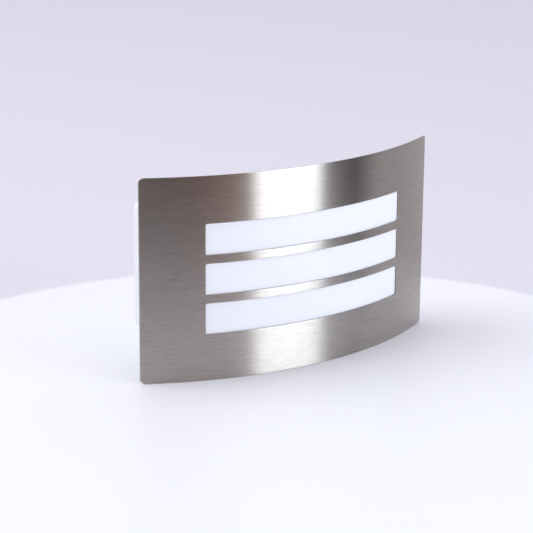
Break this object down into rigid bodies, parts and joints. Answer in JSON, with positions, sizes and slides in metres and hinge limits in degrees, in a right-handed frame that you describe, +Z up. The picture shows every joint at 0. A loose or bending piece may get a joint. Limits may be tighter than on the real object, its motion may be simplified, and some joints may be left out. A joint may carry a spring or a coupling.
{
  "type": "outdoor wall light",
  "caption": "Wall light with a curved brushed steel front panel with wide horizontal slots over an opal diffuser on a sealed white base, with a screw-in lamp lying inside.",
  "frame": {"origin": "middle of the flat wall face at the back of the base housing", "axes": "+X to the right as seen from the front, +Y into the wall, +Z up; the front panel faces -Y"},
  "size_m": [0.288, 0.085, 0.165],
  "materials": {
    "brushed_stainless": "brushed along the width",
    "opal_plastic": "satin opal",
    "white_plastic": "fine moulded",
    "foam": "closed-cell foam",
    "seal_rubber": "matte",
    "grommet_rubber": "matte",
    "brass": "turned",
    "block_plastic": "moulded",
    "plated_steel": "zinc plated",
    "bracket_steel": "galvanised sheet",
    "black_phenolic": "pressed phenolic",
    "porcelain": "glazed",
    "tinned_copper": "tinned",
    "brown_insulation": "smooth",
    "blue_insulation": "smooth",
    "green_yellow_insulation": "smooth, yellow stripe",
    "clip_steel": "mill finish",
    "screw_steel": "stainless",
    "black_glass": "fused glass",
    "nickel_plate": "nickel plated",
    "lamp_plastic": "smooth",
    "board_white": "solder mask",
    "opal_globe": "satin opal"
  },
  "bodies": {
    "base": {"base_housing": "white_plastic", "wall_gasket": "foam", "base_seal": "seal_rubber", "cable_grommet": "grommet_rubber", "side_inserts": "brass", "terminal_block": "block_plastic", "terminal_clamps": "brass", "terminal_screws": "plated_steel", "terminal_block_screw": "plated_steel", "lampholder_bracket": "bracket_steel", "bracket_screws": "plated_steel", "lampholder_nipple": "plated_steel", "lampholder_nut": "plated_steel", "lampholder_dome": "black_phenolic", "lampholder_insulator": "porcelain", "lampholder_sleeve": "black_phenolic", "lampholder_screw_shell": "brass", "lampholder_centre_contact": "brass", "lampholder_terminals": "brass", "earth_screw": "brass", "earth_nut": "brass", "earth_ring_terminal": "tinned_copper", "live_wire": "brown_insulation", "neutral_wire": "blue_insulation", "earth_wire": "green_yellow_insulation"},
    "diffuser": {"diffuser": "opal_plastic"},
    "panel": {"front_panel": "brushed_stainless", "panel_clip_left": "clip_steel", "panel_clip_right": "clip_steel"},
    "washer_left": {"side_washer_left": "screw_steel"},
    "screw_left": {"side_screw_left": "screw_steel"},
    "washer_right": {"side_washer_right": "screw_steel"},
    "screw_right": {"side_screw_right": "screw_steel"},
    "lamp_contact": {"lamp_centre_contact": "tinned_copper"},
    "lamp": {"lamp_insulator": "black_glass", "lamp_cap": "nickel_plate", "lamp_body": "lamp_plastic", "lamp_led_board": "board_white", "lamp_globe": "opal_globe"}
  },
  "joints": [
    {"name": "diffuser_lift_off", "type": "slide", "parent": "base", "child": "diffuser", "axis": [0, -1, 0], "range_m": [0, 0.1]},
    {"name": "panel_lift_off", "type": "slide", "parent": "diffuser", "child": "panel", "axis": [0, -1, 0], "range_m": [0, 0.1]},
    {"name": "washer_left_slide", "type": "slide", "parent": "base", "child": "washer_left", "axis": [-1, 0, 0], "range_m": [0, 0.0028]},
    {"name": "screw_left_turn", "type": "hinge", "parent": "washer_left", "child": "screw_left", "pos_m": [-0.119, -0.017, 0], "axis": [-1, 0, 0], "range_deg": [0, 1441]},
    {"name": "washer_right_slide", "type": "slide", "parent": "base", "child": "washer_right", "axis": [1, 0, 0], "range_m": [0, 0.0028]},
    {"name": "screw_right_turn", "type": "hinge", "parent": "washer_right", "child": "screw_right", "pos_m": [0.119, -0.017, 0], "axis": [1, 0, 0], "range_deg": [0, 1441]},
    {"name": "lamp_slide", "type": "slide", "parent": "base", "child": "lamp_contact", "axis": [-1, 0, 0], "range_m": [0, 0.02]},
    {"name": "lamp_turn", "type": "hinge", "parent": "lamp_contact", "child": "lamp", "pos_m": [0.0694, -0.04, 0], "axis": [-1, 0, 0], "range_deg": [0, 1980]}
  ],
  "couplings": [
    {"joint": "screw_left_turn", "follows": "washer_left_slide", "rad_per_m": 8976},
    {"joint": "screw_right_turn", "follows": "washer_right_slide", "rad_per_m": 8976},
    {"joint": "lamp_slide", "follows": "lamp_turn", "m_per_rad": 0.00057757}
  ]
}
